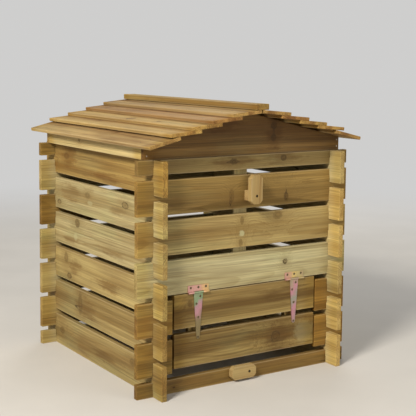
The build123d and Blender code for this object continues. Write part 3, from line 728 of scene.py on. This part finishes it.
def yellow_zinc(node, axis, tints, tilt):
    """Yellow zinc plate, whose film shimmers from green over gold to pink along one axis of a node; a strap's
    tints also paint shade on part of it.
    """
    material, graph, shader, coordinates = new_material(f"yellow_zinc_{node}")
    place = coordinates["Object"]
    low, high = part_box(node)
    beside = 2 - axis
    parts = graph.split(place)
    level = graph.math("DIVIDE", graph.math("SUBTRACT", parts[axis], low[axis]), high[axis] - low[axis])
    off_middle = graph.math("SUBTRACT", parts[beside], (low[beside] + high[beside]) / 2)
    drift = graph.centred(graph.noise(place, *FILM_NOISE), FILM_DRIFT)
    film = graph.math("ADD", level, graph.plus(drift, off_middle, tilt))
    ramp = graph.node("ShaderNodeValToRGB", {"Fac": film})
    stops = ramp.color_ramp.elements
    for index, (position, tone) in enumerate(tints):
        stop = stops[index] if index < 2 else stops.new(position)
        stop.position, stop.color = position, srgb(tone)
    speck = graph.noise(place, *SPECK_NOISE)
    worn = graph.ease(speck, *SPECK_SPAN, *SPECK_TONES)
    graph.put(shader["Base Color"], graph.shade(ramp.outputs[0], worn))
    graph.put(shader["Roughness"], graph.ease(graph.noise(place, *SHEEN_NOISE), *NOISE_SPAN, *SHEEN))
    graph.put(shader["Metallic"], FILM_METALLIC)
    bump = graph.node("ShaderNodeBump", {"Height": speck, **FILM_BUMP})
    graph.put(shader["Normal"], bump.outputs[0])
    return material


def zinc(name):
    """Plain zinc plate with a mottled shine."""
    material, graph, shader, coordinates = new_material(name)
    tone, roughness = ZINCS[name]
    mottle = graph.noise(coordinates["Object"], *MOTTLE_NOISE)
    dull = graph.ease(mottle, *NOISE_SPAN, *MOTTLE_TONES)
    graph.put(shader["Base Color"], graph.shade(srgb(tone), dull))
    graph.put(shader["Roughness"], graph.ease(mottle, *NOISE_SPAN, roughness + MOTTLE_DULL, roughness))
    graph.put(shader["Metallic"], 1.0)
    return material


def loose_boxes(node):
    """Lowest and highest corner of each loose solid of a node."""
    mesh = nodes[node].data
    key = [tuple(round(value, 6) for value in vertex.co) for vertex in mesh.vertices]
    group = {place: place for place in key}

    def root(place):
        while group[place] != place:
            place = group[place]
        return place

    for polygon in mesh.polygons:
        first, *others = [key[index] for index in polygon.vertices]
        for other in others:
            group[root(other)] = root(first)
    solids = {}
    for place in group:
        solids.setdefault(root(place), []).append(place)
    return [
        (Vector(map(min, zip(*places))), Vector(map(max, zip(*places))))
        for _, places in sorted(solids.items())
    ]


def new_piece(name, build, material, body):
    """A mesh piece that a body carries, filled in by build(mesh)."""
    mesh = bmesh.new()
    build(mesh)
    bmesh.ops.recalc_face_normals(mesh, faces=mesh.faces)
    data = bpy.data.meshes.new(name)
    mesh.to_mesh(data)
    mesh.free()
    data.materials.append(material)
    piece = bpy.data.objects.new(name, data)
    bpy.context.scene.collection.objects.link(piece)
    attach(piece, body)
    return piece


def circle(radius, count, height):
    """Points round the Z axis."""
    return [
        Vector((radius * math.cos(turn), radius * math.sin(turn), height))
        for turn in (2 * math.pi * step / count for step in range(count))
    ]


def skin(mesh, place, rings):
    """Joins rings of points by faces, at a place; returns the rings' vertices."""
    made = [[mesh.verts.new(place @ point) for point in ring] for ring in rings]
    for lower, upper in zip(made, made[1:]):
        for step, vertex in enumerate(lower):
            after = (step + 1) % len(lower)
            mesh.faces.new((vertex, lower[after], upper[after], upper[step]))
    return made


def add_screw(mesh, place, head_radius, shank_radius, length):
    """A countersunk screw with a cross recess, whose head faces along the place's +Z."""
    head_height = head_radius - shank_radius
    lip = head_radius * SCREW_LIP
    rings = skin(mesh, place, [
        circle(shank_radius * SCREW_TIP, SCREW_SIDES, -length),
        circle(shank_radius, SCREW_SIDES, -length + SCREW_POINT * shank_radius),
        circle(shank_radius, SCREW_SIDES, -head_height - lip),
        circle(head_radius, SCREW_SIDES, -lip),
        circle(head_radius - lip * SCREW_EDGE, SCREW_SIDES, 0),
    ])
    mesh.faces.new(rings[0])
    arm, waist = head_radius * RECESS_ARM, head_radius * RECESS_WAIST
    cross = []
    for quarter in range(4):
        turn = Matrix.Rotation(quarter * math.pi / 2, 3, "Z")
        cross += [turn @ Vector(corner) for corner in ((waist, waist, 0), (waist, arm, 0), (-waist, arm, 0))]
    depth = head_radius * RECESS_DEPTH
    floor = [Vector((point.x * RECESS_FLOOR, point.y * RECESS_FLOOR, -depth)) for point in cross]
    recess = skin(mesh, place, [cross, floor])
    mesh.faces.new(recess[1])
    edges = [
        mesh.edges.get((ring[i - 1], ring[i])) for ring in (rings[-1], recess[0]) for i in range(len(ring))
    ]
    bmesh.ops.triangle_fill(mesh, edges=edges, use_beauty=True)


def make_screws(name, node, body, material, shank_share):
    """Detailed screws in the places and sizes of a node's plain ones, each turned by chance."""
    def build(mesh):
        for low, high in loose_boxes(node):
            face = Matrix.Translation(((low.x + high.x) / 2, low.y, (low.z + high.z) / 2))
            forward = Matrix.Rotation(math.pi / 2, 4, "X")
            turn = Matrix.Rotation(chance.uniform(0, math.pi / 2), 4, "Z")
            radius = (high.x - low.x) / 2
            add_screw(mesh, face @ forward @ turn, radius, radius * shank_share, high.y - low.y)

    piece = new_piece(name, build, material, body)
    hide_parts(node)


def add_nail(mesh, place):
    """A nail head driven level with the wood, a little domed, which faces along the place's +Z."""
    rings = skin(mesh, place, [
        circle(NAIL_RADIUS * share, NAIL_SIDES, NAIL_RADIUS * height) for share, height in NAIL_PROFILE
    ])
    mesh.faces.new(rings[0])
    mesh.faces.new(rings[-1])


def nail_place(node, origin, direction):
    """The place on a node's surface that a ray meets, with +Z out of the surface."""
    depsgraph = bpy.context.evaluated_depsgraph_get()
    tree = BVHTree.FromObject(nodes[node], depsgraph)
    spot, normal, _, _ = tree.ray_cast(Vector(origin), Vector(direction))
    return Matrix.Translation(spot) @ normal.to_track_quat("Z", "Y").to_matrix().to_4x4()


def make_lid_nails(roof_metal, gable_metal):
    """Nail heads of the lid: roof boards on the gables, gables on the ends of the rails."""
    gables = {side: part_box(f"lid_{side}_gable") for side in ("front", "back")}
    rows = [(low.y + high.y) / 2 for low, high in gables.values()]

    def build_roof(mesh):
        for node in sorted(nodes):
            if not node.startswith("roof_"):
                continue
            low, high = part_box(node)
            edge, inward = (low.x, 1) if "left" in node else (high.x, -1)
            for row in rows:
                for inset in ROOF_NAILS:
                    spot = (edge + inward * inset, row + chance.uniform(*ROOF_NAIL_SWAY), 1.0)
                    add_nail(mesh, nail_place(node, spot, (0, 0, -1)))

    def build_gables(mesh):
        for side, (low, _) in gables.items():
            start, way = (-1, 1) if side == "front" else (1, -1)
            for rail in ("lid_left_rail", "lid_right_rail"):
                rail_low, rail_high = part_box(rail)
                for rise in GABLE_NAILS:
                    spot = ((rail_low.x + rail_high.x) / 2, start, low.z + rise)
                    add_nail(mesh, nail_place(f"lid_{side}_gable", spot, (0, way, 0)))

    new_piece("roof_nails", build_roof, roof_metal, "lid")
    new_piece("gable_nails", build_gables, gable_metal, "lid")


def make_batten_nails(name, battens, boards, body, material):
    """Nail heads on the inner faces of upright battens, two into each board."""
    def build(mesh):
        for batten in battens:
            low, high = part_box(batten)
            for board in boards:
                board_low, board_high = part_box(board)
                for rise in BATTEN_NAILS:
                    spot = ((low.x + high.x) / 2, 0, (board_low.z + board_high.z) / 2 + rise)
                    add_nail(mesh, nail_place(batten, spot, (0, -1, 0)))

    new_piece(name, build, material, body)


def dress_metal():
    """Yellow zinc hinges, and screws and nails with real heads."""
    for side in ("left", "right"):
        plate, strap = f"{side}_hinge_plate", f"{side}_hinge_strap"
        nodes[plate].material_slots[0].material = yellow_zinc(plate, 0, PLATE_TINTS[side], PLATE_TILT)
        nodes[strap].material_slots[0].material = yellow_zinc(strap, 2, STRAP_TINTS[side], STRAP_TILT)
    nodes["hinge_pins"].material_slots[0].material = zinc("pin_plate")
    screw_metal = zinc("screw_plate")
    make_screws("hinge_plate_screw_heads", "hinge_plate_screws", "bin", screw_metal, HINGE_SHANK)
    make_screws("hatch_screw_heads", "hatch_screws", "hatch", screw_metal, HINGE_SHANK)
    make_screws("pivot_screw_heads", "pivot_screws", "bin", zinc("pivot_plate"), PIVOT_SHANK)
    nail_metal = zinc("nail_plate")
    make_lid_nails(nail_metal, zinc("gable_nail_plate"))
    hatch_battens = ("hatch_left_batten", "hatch_right_batten")
    make_batten_nails("hatch_nails", hatch_battens, ("hatch_board_1", "hatch_board_2"), "hatch", nail_metal)
    make_batten_nails("brace_nails", ("front_brace",), ("front_slat_4", "front_slat_5"), "bin", nail_metal)


def backdrop_level(graph):
    """The backdrop's level for rays from the camera and for reflections, the sky's level for other light."""
    rays = graph.node("ShaderNodeLightPath").outputs
    seen = graph.math("MAXIMUM", rays["Is Camera Ray"], rays["Is Glossy Ray"])
    seen = graph.math("MAXIMUM", seen, rays["Is Transmission Ray"])
    return graph.ease(seen, 0.0, 1.0, SKY_LEVEL, BACKDROP)


def make_floor():
    """A pale floor that turns into an even backdrop."""
    mesh = bmesh.new()
    bmesh.ops.create_circle(mesh, cap_ends=True, segments=FLOOR_SIDES, radius=FLOOR_RADIUS)
    data = bpy.data.meshes.new("floor")
    mesh.to_mesh(data)
    mesh.free()
    floor = bpy.data.objects.new("floor", data)
    bpy.context.scene.collection.objects.link(floor)
    material, graph, shader, coordinates = new_material("floor")
    tint = graph.ease(graph.noise(coordinates["Object"], *FLOOR_NOISE), *NOISE_SPAN, *FLOOR_TINTS)
    graph.put(shader["Base Color"], graph.shade(srgb(FLOOR_TONE), tint))
    graph.put(shader["Roughness"], FLOOR_ROUGHNESS)
    graph.put(shader["Specular IOR Level"], FLOOR_GLOSS)
    away = graph.vector("LENGTH", coordinates["Object"])
    glow = graph.node("ShaderNodeEmission", {"Color": BACKDROP_TINT, "Strength": backdrop_level(graph)})
    near = material.node_tree.nodes["Principled BSDF"]
    ends = {1: near.outputs[0], 2: glow.outputs[0]}
    blend = graph.node("ShaderNodeMixShader", {0: graph.ease(away, *FADE), **ends})
    graph.put(material.node_tree.nodes["Material Output"].inputs["Surface"], blend.outputs[0])
    data.materials.append(material)


def make_sky():
    """A plain sky that shows as the backdrop."""
    world = bpy.data.worlds.new("studio")
    bpy.context.scene.world = world
    world.use_nodes = True
    graph = Graph(world.node_tree)
    background = world.node_tree.nodes["Background"].inputs
    graph.put(background["Color"], BACKDROP_TINT)
    graph.put(background["Strength"], backdrop_level(graph))


def make_lamps():
    """Round soft lamps that look at the middle of the bin."""
    for name, (place, width, power, tone) in LAMPS.items():
        lamp = bpy.data.lights.new(name, "AREA")
        lamp.shape = "DISK"
        lamp.size = width
        lamp.energy = power
        lamp.color = srgb(tone)[:3]
        light = bpy.data.objects.new(name, lamp)
        bpy.context.scene.collection.objects.link(light)
        light.location = place
        light.rotation_euler = (Vector(LAMP_AIM) - Vector(place)).to_track_quat("-Z", "Y").to_euler()


def make_camera():
    """The camera at the photograph's viewing angle."""
    data = bpy.data.cameras.new("camera")
    data.lens = CAMERA_LENS
    data.sensor_width = CAMERA_SENSOR
    data.shift_x, data.shift_y = CAMERA_SHIFT
    camera = bpy.data.objects.new("camera", data)
    bpy.context.scene.collection.objects.link(camera)
    yaw = Matrix.Rotation(math.radians(-CAMERA_YAW), 4, "Z")
    pitch = Matrix.Rotation(math.radians(90 - CAMERA_PITCH), 4, "X")
    roll = Matrix.Rotation(math.radians(CAMERA_ROLL), 4, "Z")
    camera.matrix_world = Matrix.Translation(CAMERA_PLACE) @ yaw @ pitch @ roll
    bpy.context.scene.camera = camera


dress_boards()
dress_metal()
make_floor()
make_sky()
make_lamps()
make_camera()
bpy.context.scene.view_settings.view_transform = "Standard"
